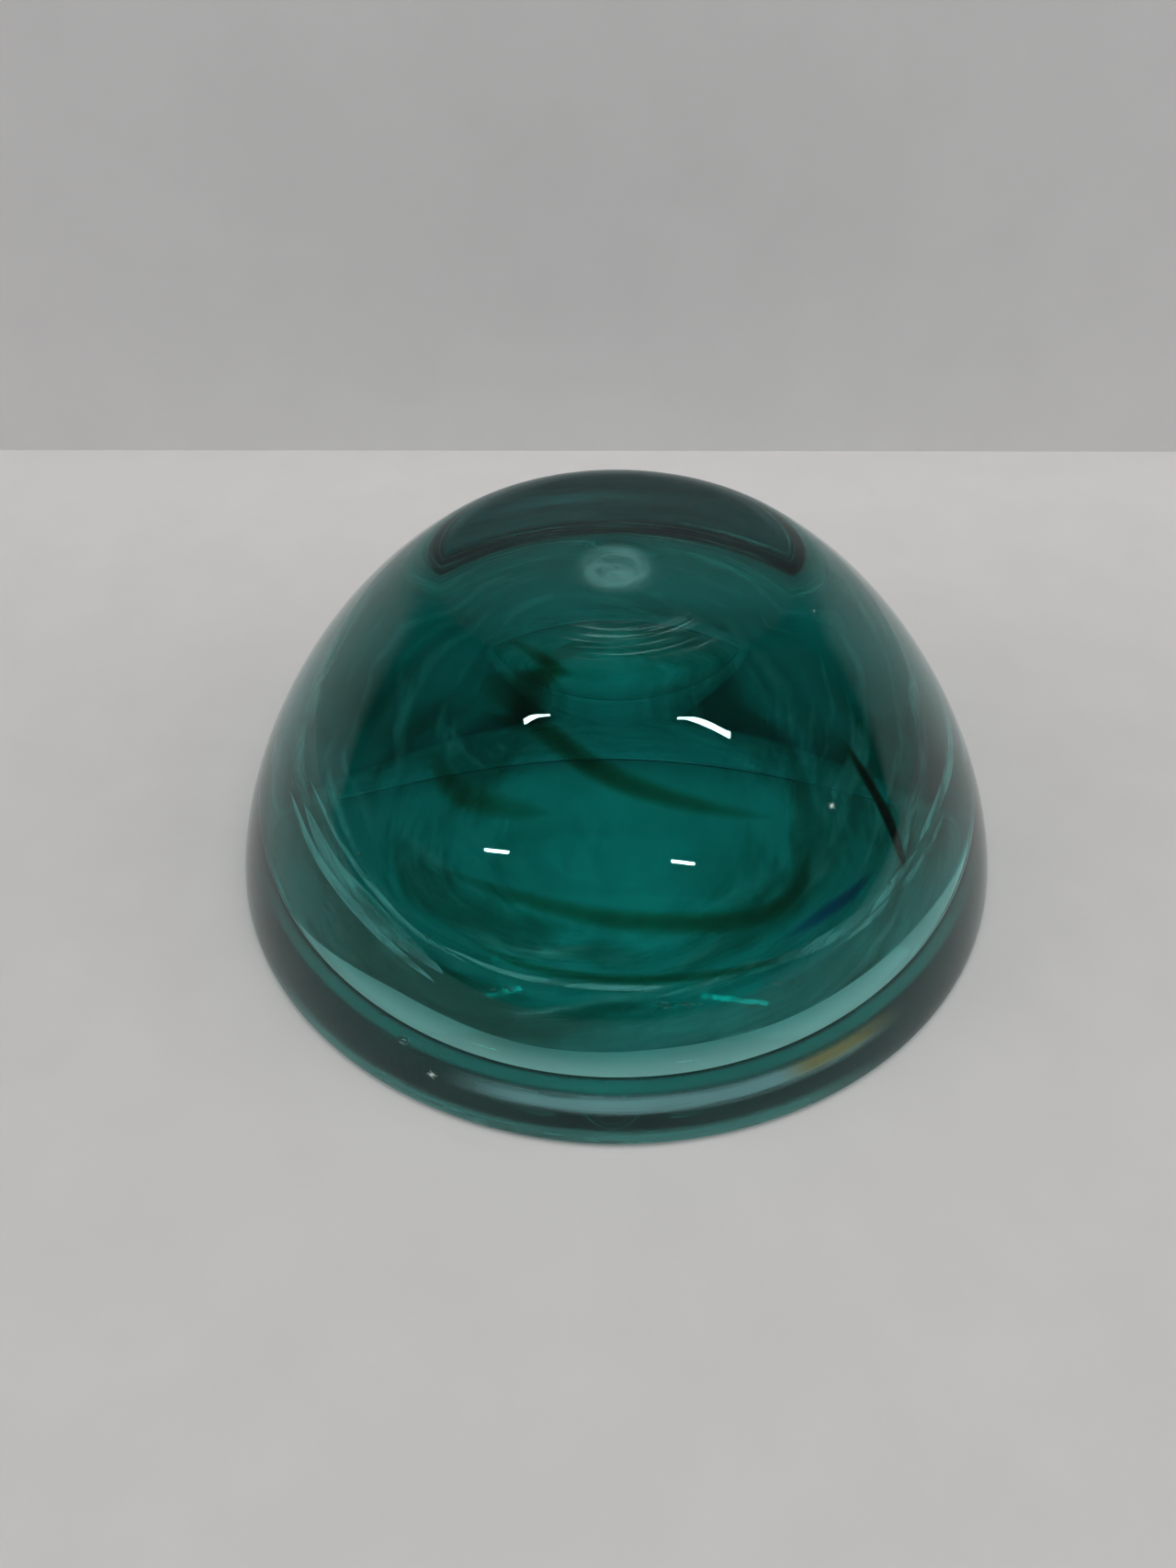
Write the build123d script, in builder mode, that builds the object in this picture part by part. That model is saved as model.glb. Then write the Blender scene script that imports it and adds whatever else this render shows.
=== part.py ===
from build123d import *
import math
import os

# Art glass bowl standing mouth down on its rim, millimetres, +Z up.
# The origin is the centre of the circle that the rim lies on.

# Outside of the bowl
rim_radius = 75.0
crown_height = 71.8          # height that the side's curve would reach without the flat base
side_power = 2.07            # exponent of the radius in the side's curve
side_height_power = 1.40     # exponent of the height in the side's curve
base_radius = 30.0           # flat ground base, uppermost while the bowl is mouth down
bowl_height = 61.7
shoulder_radius = 38.0       # where the side's curve gives way to the shoulder of the base
rim_rounding = 1.6

# Pontil mark, a shallow ground hollow with a small disc in its middle
pontil_radius = 8.0
pontil_disc_radius = 4.0
pontil_depth = 0.15
pontil_disc_depth = 0.1

# Inside of the bowl
mouth_radius = 56.0
cavity_depth = 26.0
cavity_height_power = 1.20   # exponent of the height in the cavity's curve
mouth_edge_rounding = 0.8
gather_thickness = 1.8
gather_foot_height = 2.6     # height of the gather's lower edge above the rim, at the axis
gather_foot_tilt = 2.0       # degrees that the lower edge rises towards the front
gather_foot_azimuth = -78.0  # direction in which the lower edge is highest, from +X

# Trails and veils of other glass, enclosed in the casing just over the teal gather
trail_lift = 0.2             # clear glass between the gather and the trails
trail_thickness = 1.4
veil_depth = 6.0             # how deep the right-hand veil lies under the casing's surface
veil_thickness = 1.2
trail_reach = 80.0           # length of the prisms that cut the trails to shape

gather_radius = mouth_radius + gather_thickness
gather_height = cavity_depth + gather_thickness


def side_height(radius, scale=1.0):
    """Height of the bowl's side at a radius, for the side's curve at a scale."""
    share = 1.0 - (radius / (rim_radius * scale)) ** side_power
    return crown_height * scale * max(share, 0.0) ** (1.0 / side_height_power)


def side_slope(radius):
    """Slope of the bowl's side at a radius."""
    step = 0.01
    return (side_height(radius + step) - side_height(radius - step)) / (2 * step)


def side_points(scale, first_height, last_radius, count):
    """Points up the side, spaced evenly by angle, from a height to a radius."""
    first_angle = math.asin((first_height / (crown_height * scale)) ** (side_height_power / 2))
    last_angle = math.acos((last_radius / (rim_radius * scale)) ** (side_power / 2))
    points = []
    for index in range(count):
        angle = first_angle + (last_angle - first_angle) * index / (count - 1)
        radius = rim_radius * scale * math.cos(angle) ** (2 / side_power)
        height = crown_height * scale * math.sin(angle) ** (2 / side_height_power)
        points.append((radius, height))
    return points


# Plane that faces the front of the dome, leaning back by 45 degrees
front_plane = Plane(origin=(0, 0, 0), x_dir=(1, 0, 0), z_dir=(0, -1, 1))

# Each trail: its middle line on the front plane, and its widest width
trail_lines = {
    "dark_trail_crown": ([(-20, 19.2), (-14, 16.8), (-9, 12.7), (-3.6, 8), (3.4, 4.6), (12.4, 1.8), (24, -0.3)], 3.8),
    "dark_trail_left": ([(-26, 11), (-24.5, 6.5), (-21, 3.2), (-15.5, 2), (-9, 1.2)], 5.0),
    "dark_trail_loop": ([(-26, -7.5), (-14.5, -11.4), (-1, -14.4), (12, -15.2), (22, -14), (27, -10), (28.5, -4)], 4.0),
    "dark_trail_foot": ([(-26, -15.6), (-14.5, -21.6), (-1, -23.8), (12.5, -23.4), (23, -21.6), (30.5, -18.8)], 1.8),
    "dark_trail_blade": ([(32, 12.5), (36.5, 6), (40.2, 0.2), (43, -5.6), (44, -8.6)], 2.6),
    "blue_trail": ([(25, -18), (30, -15), (35, -11.5), (38.6, -8)], 2.4),
    "pale_veil_left": ([(-47, 1), (-42.8, -7.8), (-37, -14), (-31.4, -19.4), (-25.5, -24)], 3.2),
}
veil_line = [(49, 34), (54.5, 25), (58, 16), (59.5, 8)]
veil_width = 6.0


def trail_outline(line, width):
    """Two edges of a trail that tapers to a point at both ends of its middle line."""
    left_edge = [line[0]]
    right_edge = [line[0]]
    last = len(line) - 1
    for index in range(1, last):
        along_x = line[index + 1][0] - line[index - 1][0]
        along_y = line[index + 1][1] - line[index - 1][1]
        length = math.hypot(along_x, along_y)
        half_width = width / 2 * math.sin(math.pi * index / last) ** 0.6
        offset_x = -along_y / length * half_width
        offset_y = along_x / length * half_width
        left_edge.append((line[index][0] + offset_x, line[index][1] + offset_y))
        right_edge.append((line[index][0] - offset_x, line[index][1] - offset_y))
    left_edge.append(line[last])
    right_edge.append(line[last])
    return left_edge, right_edge


def trail_prism(line, width):
    """Prism that stands on the front plane and cuts a trail out of a thin shell."""
    left_edge, right_edge = trail_outline(line, width)
    with BuildPart() as prism:
        with BuildSketch(front_plane):
            with BuildLine():
                Spline(*left_edge)
                Spline(*right_edge)
            make_face()
        extrude(amount=trail_reach)
    return prism.part


def cavity_points(radius, height, first_height):
    """Points up the cavity's curve, from a height to the axis."""
    first_angle = math.asin((first_height / height) ** (cavity_height_power / 2))
    points = []
    for index in range(13):
        angle = first_angle + (math.pi / 2 - first_angle) * index / 12
        points.append((radius * math.cos(angle), height * math.sin(angle) ** (2 / cavity_height_power)))
    points[-1] = (0, height)
    return points


def dome(radius, height):
    """Dome with the section of the cavity's curve, flat side down on the rim's plane."""
    points = cavity_points(radius, height, 0.0)
    first_way = (points[1][0] - points[0][0], points[1][1] - points[0][1])
    with BuildPart() as solid:
        with BuildSketch(Plane.XZ):
            with BuildLine():
                Spline(*points, tangents=(first_way, (-1, 0)))
                Line((0, height), (0, 0))
                Line((0, 0), (radius, 0))
            make_face()
        revolve(axis=Axis.Z)
    return solid.part


def cavity_void():
    """Space inside the bowl, flared at the mouth by the rounding of the glass's edge."""
    points = cavity_points(mouth_radius, cavity_depth, mouth_edge_rounding)
    flare_radius = mouth_radius + mouth_edge_rounding
    reach = mouth_edge_rounding * math.sin(math.radians(45))
    with BuildPart() as void:
        with BuildSketch(Plane.XZ):
            with BuildLine():
                ThreePointArc(
                    (flare_radius, 0),
                    (flare_radius - reach, mouth_edge_rounding - reach),
                    points[0],
                )
                Spline(*points)
                Line((0, cavity_depth), (0, 0))
                Line((0, 0), (flare_radius, 0))
            make_face()
        revolve(axis=Axis.Z)
    return void.part


def scaled_dome(scale):
    """Dome that follows the bowl's side at a scale below one."""
    points = side_points(scale, 0.5, 12.0, 14)
    with BuildPart() as dome:
        with BuildSketch(Plane.XZ):
            with BuildLine():
                Line((0, 0), (points[0][0], 0))
                Line((points[0][0], 0), points[0])
                Spline(*points)
                Line(points[-1], (0, points[-1][1]))
                Line((0, points[-1][1]), (0, 0))
            make_face()
        revolve(axis=Axis.Z)
    return dome.part


os.makedirs("parts", exist_ok=True)

gather_envelope = dome(gather_radius, gather_height)
trail_inside = dome(gather_radius + trail_lift, gather_height + trail_lift)
trail_top = trail_lift + trail_thickness
trail_outside = dome(gather_radius + trail_top, gather_height + trail_top)
cavity = cavity_void()
veil_scale = (rim_radius - veil_depth) / rim_radius
veil_outside = scaled_dome(veil_scale)
veil_inside = scaled_dome(veil_scale - veil_thickness / rim_radius)

# Everything above the slanting lower edge of the gather, the cavity included
lean = math.radians(gather_foot_tilt)
toward = math.radians(gather_foot_azimuth)
foot_plane = Plane(
    origin=(0, 0, gather_foot_height),
    x_dir=(-math.sin(toward), math.cos(toward), 0),
    z_dir=(-math.sin(lean) * math.cos(toward), -math.sin(lean) * math.sin(toward), math.cos(lean)),
)
with BuildPart() as gather_dome:
    add(gather_envelope)
    split(bisect_by=foot_plane, keep=Keep.TOP)

# Teal gather that lines the cavity, a dome of even thickness that stops short of the rim
with BuildPart() as teal_gather:
    add(gather_dome.part)
    add(cavity, mode=Mode.SUBTRACT)
teal_gather.part.label = "teal_gather"
export_step(teal_gather.part, "parts/teal_gather.step")

# Trails that lie over the teal gather, each cut from a thin shell
trails = []
for trail_name, (trail_line, trail_width) in trail_lines.items():
    with BuildPart() as trail:
        add(trail_prism(trail_line, trail_width))
        add(trail_outside, mode=Mode.INTERSECT)
        add(trail_inside, mode=Mode.SUBTRACT)
    trail.part.label = trail_name
    export_step(trail.part, f"parts/{trail_name}.step")
    trails.append(trail.part)

# Pale wisp that lies inside the casing at the right
with BuildPart() as pale_veil_right:
    add(veil_outside)
    add(veil_inside, mode=Mode.SUBTRACT)
    add(trail_prism(veil_line, veil_width), mode=Mode.INTERSECT)
pale_veil_right.part.label = "pale_veil_right"
export_step(pale_veil_right.part, "parts/pale_veil_right.step")
trails.append(pale_veil_right.part)

# Clear casing: the turned outside, less the cavity and the glass that it encloses
wall_points = side_points(1.0, rim_rounding * 2, shoulder_radius, 16)
with BuildPart() as clear_casing:
    with BuildSketch(Plane.XZ):
        with BuildLine():
            Line((0, 0), (rim_radius, 0))
            Spline((rim_radius, 0), *wall_points, tangents=((0, 1), (-1, -side_slope(shoulder_radius))))
            Spline(
                wall_points[-1],
                (base_radius, bowl_height),
                tangents=((-1, -side_slope(shoulder_radius)), (-1, 0)),
            )
            Line((base_radius, bowl_height), (0, bowl_height))
            Line((0, bowl_height), (0, 0))
        make_face()
    revolve(axis=Axis.Z)
    rim_edge = clear_casing.edges().filter_by(GeomType.CIRCLE).group_by(Axis.Z)[0].sort_by(SortBy.RADIUS)[-1]
    fillet(rim_edge, radius=rim_rounding)
    # Pontil mark in the middle of the base
    with BuildSketch(Plane.XZ):
        with BuildLine():
            ThreePointArc(
                (pontil_radius, bowl_height),
                (pontil_radius * 0.8, bowl_height - pontil_depth * 0.6),
                (pontil_disc_radius, bowl_height - pontil_depth),
            )
            Line((pontil_disc_radius, bowl_height - pontil_depth), (pontil_disc_radius, bowl_height - pontil_disc_depth))
            Line((pontil_disc_radius, bowl_height - pontil_disc_depth), (0, bowl_height - pontil_disc_depth))
            Line((0, bowl_height - pontil_disc_depth), (0, bowl_height))
            Line((0, bowl_height), (pontil_radius, bowl_height))
        make_face()
    revolve(axis=Axis.Z, mode=Mode.SUBTRACT)
    add(gather_dome.part, mode=Mode.SUBTRACT)
    add(cavity, mode=Mode.SUBTRACT)
    for enclosed in trails:
        add(enclosed, mode=Mode.SUBTRACT)
clear_casing.part.label = "clear_casing"
export_step(clear_casing.part, "parts/clear_casing.step")
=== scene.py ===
import math
import random

import bmesh
import bpy
from mathutils import Matrix, Vector


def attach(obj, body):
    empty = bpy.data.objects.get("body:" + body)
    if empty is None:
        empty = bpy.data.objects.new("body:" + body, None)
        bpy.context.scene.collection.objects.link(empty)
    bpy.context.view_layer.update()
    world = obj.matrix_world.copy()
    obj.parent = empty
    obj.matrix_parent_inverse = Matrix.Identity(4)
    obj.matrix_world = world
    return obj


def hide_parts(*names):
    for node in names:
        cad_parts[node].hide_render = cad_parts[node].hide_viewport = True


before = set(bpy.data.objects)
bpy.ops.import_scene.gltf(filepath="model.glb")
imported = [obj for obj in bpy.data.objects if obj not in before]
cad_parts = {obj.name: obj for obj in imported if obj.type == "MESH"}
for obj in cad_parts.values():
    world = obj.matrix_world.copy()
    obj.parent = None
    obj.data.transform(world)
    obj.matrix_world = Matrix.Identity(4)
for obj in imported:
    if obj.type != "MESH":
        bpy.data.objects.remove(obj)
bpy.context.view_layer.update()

# ---------------------------------------------------------------- sizes, metres, as in the CAD
RIM_RADIUS = 0.075
RIM_REACH = 0.0748           # widest radius once the rim's edge is rounded
CROWN_HEIGHT = 0.0718
SIDE_POWER = 2.07
SIDE_HEIGHT_POWER = 1.40
BASE_RADIUS = 0.030
SHOULDER_RADIUS = 0.038
BOWL_HEIGHT = 0.0617
RIM_ROUNDING = 0.0016
PONTIL_RADIUS = 0.008
PONTIL_DISC_RADIUS = 0.004
PONTIL_DEPTH = 0.00015
PONTIL_DISC_DEPTH = 0.0001
MOUTH_RADIUS = 0.056
CAVITY_DEPTH = 0.0260
CAVITY_POWER = 2.0
CAVITY_HEIGHT_POWER = 1.20
MOUTH_ROUNDING = 0.0008
GATHER_THICKNESS = 0.0018

GATHER_RADIUS = MOUTH_RADIUS + GATHER_THICKNESS
GATHER_HEIGHT = CAVITY_DEPTH + GATHER_THICKNESS
RIM_FLAT = RIM_REACH - RIM_ROUNDING      # where the rim's flat ends and its rounded edge starts

# ---------------------------------------------------------------- values that only the look has, metres
TURNS = 320                  # divisions round a turned surface
SKIN = 0.00006               # how far the teal layer stays inside the glass's own surface
EDGE_HEIGHT = 0.0006         # height of the teal layer's lower edge behind
EDGE_RISE = 0.0028           # how much higher that edge is in front
LINING_REACH = 0.9995        # how far up the cavity the teal layer goes, 1 being the middle
LINING_GAP = 0.00002         # smallest radius of the teal layer, at the middle
BEAD_SWELL = 0.7             # how much thicker the teal layer is along its lower edge
BACK_THINNING = 0.35         # share of the teal layer's thickness that it loses at the back
VEIL_DOME = (0.0684, 0.060)  # radius and height of the dome that the right veil lies on
SWIRL_CENTRE = (0.003, -0.020, 0.0)      # middle of the dark streaks' swirl, high on the cavity
SWIRL_ON_AXIS = 0.007        # at and below this height the swirl runs round the bowl's axis
SWIRL_OFF_AXIS = 0.019       # at and above this height it runs round SWIRL_CENTRE
WINDOW_CENTRE = (0.002, -0.024, 0.0235)  # calm patch of the teal, in front of the cavity
GLASS_IOR = 1.5

random.seed(7)


# ---------------------------------------------------------------- profiles
def side_height(radius):
    """Height of the bowl's side at a radius."""
    share = max(1.0 - (radius / RIM_RADIUS) ** SIDE_POWER, 0.0)
    return CROWN_HEIGHT * share ** (1.0 / SIDE_HEIGHT_POWER)


def side_profile():
    """Outside of the bowl, from the middle of the base down to the rim's flat."""
    points = []
    # pontil mark: a low disc in a shallow hollow
    disc_flat = PONTIL_DISC_RADIUS * 0.92
    hollow_start = PONTIL_DISC_RADIUS * 1.10
    hollow_end = PONTIL_RADIUS * 1.06
    for step in range(5):
        points.append((disc_flat * step / 4, BOWL_HEIGHT - PONTIL_DISC_DEPTH))
    for step in range(1, 9):
        share = step / 8
        radius = disc_flat + (hollow_start - disc_flat) * share
        eased_share = 0.5 - 0.5 * math.cos(math.pi * share)
        drop = PONTIL_DISC_DEPTH + (PONTIL_DEPTH - PONTIL_DISC_DEPTH) * eased_share
        points.append((radius, BOWL_HEIGHT - drop))
    for step in range(1, 15):
        share = step / 14
        radius = hollow_start + (hollow_end - hollow_start) * share
        drop = PONTIL_DEPTH * (0.5 + 0.5 * math.cos(math.pi * share)) ** 0.8
        points.append((radius, BOWL_HEIGHT - drop))
    # flat base
    for step in range(1, 12):
        radius = hollow_end + (BASE_RADIUS - hollow_end) * step / 11
        points.append((radius, BOWL_HEIGHT))
    # shoulder, a curve from the flat base to the side
    reach = 0.00001
    slope = (side_height(SHOULDER_RADIUS + reach) - side_height(SHOULDER_RADIUS - reach)) / (2 * reach)
    span = SHOULDER_RADIUS - BASE_RADIUS
    fall = side_height(SHOULDER_RADIUS) - BOWL_HEIGHT
    for step in range(1, 25):
        u = step / 24
        height = BOWL_HEIGHT + fall * (3 * u * u - 2 * u ** 3) + slope * span * (u ** 3 - u * u)
        points.append((BASE_RADIUS + span * u, height))
    # side
    angle_low = math.asin((2 * RIM_ROUNDING / CROWN_HEIGHT) ** (SIDE_HEIGHT_POWER / 2))
    angle_high = math.acos((SHOULDER_RADIUS / RIM_RADIUS) ** (SIDE_POWER / 2))
    for step in range(1, 91):
        angle = angle_high + (angle_low - angle_high) * step / 90
        radius = RIM_RADIUS * math.cos(angle) ** (2 / SIDE_POWER)
        height = CROWN_HEIGHT * math.sin(angle) ** (2 / SIDE_HEIGHT_POWER)
        points.append((min(radius, RIM_REACH), height))
    # rounded outer edge of the rim
    for step in range(13):
        angle = math.pi / 2 * step / 12
        radius = RIM_FLAT + RIM_ROUNDING * math.cos(angle)
        points.append((radius, RIM_ROUNDING - RIM_ROUNDING * math.sin(angle)))
    return points


def cavity_point(share, depth=0.0):
    """Point of the cavity's section, from the mouth at 0 to the middle at 1, moved into the glass."""
    def on_curve(part):
        angle = math.pi / 2 * part
        radius = MOUTH_RADIUS * max(math.cos(angle), 0.0) ** (2 / CAVITY_POWER)
        height = CAVITY_DEPTH * math.sin(angle) ** (2 / CAVITY_HEIGHT_POWER)
        return radius, height
    radius, height = on_curve(share)
    if depth == 0.0:
        return radius, height
    r0, z0 = on_curve(max(share - 0.002, 0.0))
    r1, z1 = on_curve(min(share + 0.002, 1.0))
    length = math.hypot(r1 - r0, z1 - z0)
    return radius + (z1 - z0) / length * depth, height - (r1 - r0) / length * depth


def cavity_profile():
    """Inside of the bowl, from the mouth's edge up to the cavity's middle."""
    start = 0.012
    points = [cavity_point(start + (1 - start) * (step / 100) ** 1.15) for step in range(101)]
    first_radius, first_height = points[0]
    edge = []
    for step in range(7):
        share = step / 6
        edge.append((first_radius + MOUTH_ROUNDING * (1 - share) ** 2, first_height * share ** 2))
    points[-1] = (0.0, CAVITY_DEPTH)
    return edge[:-1] + points


# ---------------------------------------------------------------- mesh helpers
def make_object(name, vertices, faces, closed=True):
    """Smooth-shaded mesh object; a closed one gets its faces turned outward."""
    mesh = bpy.data.meshes.new(name)
    mesh.from_pydata(vertices, [], faces)
    mesh.validate()
    if closed:
        body = bmesh.new()
        body.from_mesh(mesh)
        if body.calc_volume(signed=True) < 0:
            bmesh.ops.reverse_faces(body, faces=body.faces[:])
        body.to_mesh(mesh)
        body.free()
    for polygon in mesh.polygons:
        polygon.use_smooth = True
    piece = bpy.data.objects.new(name, mesh)
    bpy.context.scene.collection.objects.link(piece)
    return piece


def lathe(name, profile):
    """Closed turned surface; the profile starts and ends on the axis, outside first."""
    vertices = []
    rows = []
    for radius, height in profile:
        if radius < 1e-7:
            rows.append([len(vertices)])
            vertices.append((0.0, 0.0, height))
            continue
        row = []
        for turn in range(TURNS):
            angle = 2 * math.pi * turn / TURNS
            row.append(len(vertices))
            vertices.append((radius * math.cos(angle), radius * math.sin(angle), height))
        rows.append(row)
    faces = []
    for upper, lower in zip(rows, rows[1:]):
        for turn in range(TURNS):
            after = (turn + 1) % TURNS
            if len(upper) == 1:
                faces.append((upper[0], lower[turn], lower[after]))
            elif len(lower) == 1:
                faces.append((upper[turn], lower[0], upper[after]))
            else:
                faces.append((upper[turn], lower[turn], lower[after], upper[after]))
    return make_object(name, vertices, faces)


# ---------------------------------------------------------------- materials
def new_material(name):
    """Empty node material, with its nodes and links."""
    material = bpy.data.materials.new(name)
    material.use_nodes = True
    nodes = material.node_tree.nodes
    nodes.clear()
    return material, nodes, material.node_tree.links


def object_place(nodes):
    """Coordinates in metres from the middle of the rim."""
    return nodes.new("ShaderNodeTexCoord").outputs["Object"]


def vector_math(nodes, links, operation, first, second=None):
    """Vector Math node; a tuple is a value and anything else is linked."""
    node = nodes.new("ShaderNodeVectorMath")
    node.operation = operation
    for socket, value in zip(node.inputs, (first, second)):
        if isinstance(value, tuple):
            socket.default_value = value
        elif value is not None:
            links.new(value, socket)
    return node


def scalar_math(nodes, links, operation, first, second=None):
    """Math node; a float is a value and anything else is linked."""
    node = nodes.new("ShaderNodeMath")
    node.operation = operation
    for socket, value in zip(node.inputs, (first, second)):
        if isinstance(value, float):
            socket.default_value = value
        elif value is not None:
            links.new(value, socket)
    return node.outputs["Value"]


def product(nodes, links, first, second):
    """Product of two factors."""
    return scalar_math(nodes, links, "MULTIPLY", first, second)


def eased(nodes, links, value, start, end, least=0.0):
    """Smooth factor that goes from a least value at start to 1 at end."""
    level = nodes.new("ShaderNodeMapRange")
    level.interpolation_type = "SMOOTHSTEP"
    level.inputs["From Min"].default_value = start
    level.inputs["From Max"].default_value = end
    level.inputs["To Min"].default_value = least
    links.new(value, level.inputs["Value"])
    return level.outputs["Result"]


def axis_fade(nodes, links, axis, start, end, least):
    """Factor along one axis, from a least value at start to 1 at end."""
    parts = nodes.new("ShaderNodeSeparateXYZ")
    links.new(object_place(nodes), parts.inputs["Vector"])
    return eased(nodes, links, parts.outputs[axis], start, end, least)


def across_axis(nodes, links, vector):
    """Part of a vector that lies across the bowl's axis: its direction and its length."""
    flat = vector_math(nodes, links, "MULTIPLY", vector, (1.0, 1.0, 0.0)).outputs["Vector"]
    way = vector_math(nodes, links, "NORMALIZE", flat).outputs["Vector"]
    radius = vector_math(nodes, links, "LENGTH", flat).outputs["Value"]
    return way, radius


def clear_glass():
    """The casing: clear glass with a faint tint through its depth."""
    material, nodes, links = new_material("clear_glass")
    output = nodes.new("ShaderNodeOutputMaterial")
    glass = nodes.new("ShaderNodeBsdfPrincipled")
    glass.inputs["Base Color"].default_value = (1.0, 1.0, 1.0, 1.0)
    glass.inputs["Transmission Weight"].default_value = 1.0
    glass.inputs["Roughness"].default_value = 0.0
    glass.inputs["IOR"].default_value = GLASS_IOR
    glass.inputs["Specular Tint"].default_value = (0.5, 0.85, 0.85, 1.0)
    volume = nodes.new("ShaderNodeVolumeAbsorption")
    volume.inputs["Color"].default_value = (0.05, 0.75, 0.71, 1.0)
    volume.inputs["Density"].default_value = 28.0
    links.new(glass.outputs["BSDF"], output.inputs["Surface"])
    links.new(volume.outputs["Volume"], output.inputs["Volume"])
    return material


def colour_glass(name, colour, density):
    """Body of colour inside the casing: it absorbs light and has no surface of its own."""
    material, nodes, links = new_material(name)
    output = nodes.new("ShaderNodeOutputMaterial")
    skin = nodes.new("ShaderNodeBsdfTransparent")
    volume = nodes.new("ShaderNodeVolumeAbsorption")
    volume.inputs["Color"].default_value = (*colour, 1.0)
    volume.inputs["Density"].default_value = density
    links.new(skin.outputs["BSDF"], output.inputs["Surface"])
    links.new(volume.outputs["Volume"], output.inputs["Volume"])
    return material


def swirl_place(nodes, links, along, across, warp, centre=(0.0, 0.0, 0.0)):
    """Coordinates that run round the bowl, so that noise laid on them makes streaks."""
    place = object_place(nodes)
    drift = nodes.new("ShaderNodeTexNoise")
    drift.inputs["Scale"].default_value = 28.0
    drift.inputs["Detail"].default_value = 3.0
    links.new(place, drift.inputs["Vector"])
    shift = vector_math(nodes, links, "MULTIPLY_ADD", drift.outputs["Color"], (warp, warp, warp))
    links.new(place, shift.inputs[2])
    moved = vector_math(nodes, links, "SCALE", centre)
    links.new(axis_fade(nodes, links, "Z", SWIRL_ON_AXIS, SWIRL_OFF_AXIS, 0.0), moved.inputs["Scale"])
    centred = vector_math(nodes, links, "SUBTRACT", shift.outputs["Vector"], moved.outputs["Vector"])
    way, radius = across_axis(nodes, links, centred.outputs["Vector"])
    parts = nodes.new("ShaderNodeSeparateXYZ")
    links.new(way, parts.inputs["Vector"])
    join = nodes.new("ShaderNodeCombineXYZ")
    for socket, factor, target in (
        (parts.outputs["X"], along, "X"),
        (parts.outputs["Y"], along, "Y"),
        (radius, across, "Z"),
    ):
        links.new(product(nodes, links, socket, factor), join.inputs[target])
    return join.outputs["Vector"]


def streaks(nodes, links, vector, detail, low, high, seed):
    """Noise on the given coordinates, from 0 below one level to 1 above the other."""
    moved = vector_math(nodes, links, "ADD", vector, (seed, seed * 0.7, seed * 1.3))
    noise = nodes.new("ShaderNodeTexNoise")
    noise.inputs["Scale"].default_value = 1.0
    noise.inputs["Detail"].default_value = detail
    noise.inputs["Roughness"].default_value = 0.6
    links.new(moved.outputs["Vector"], noise.inputs["Vector"])
    return eased(nodes, links, noise.outputs["Fac"], low, high)


def mixed_colour(nodes, links, factor, first, second):
    """Mix of two colours, each a tuple or a socket."""
    mix = nodes.new("ShaderNodeMix")
    mix.data_type = "RGBA"
    links.new(factor, mix.inputs["Factor"])
    for socket, value in ((mix.inputs["A"], first), (mix.inputs["B"], second)):
        if isinstance(value, tuple):
            socket.default_value = (*value, 1.0)
        else:
            links.new(value, socket)
    return mix.outputs["Result"]


def calm_window(nodes, links, centre, near, far):
    """Factor that is small round a point of the bowl and 1 away from it."""
    distance = vector_math(nodes, links, "DISTANCE", object_place(nodes), centre)
    return eased(nodes, links, distance.outputs["Value"], near, far, 0.12)


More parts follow.
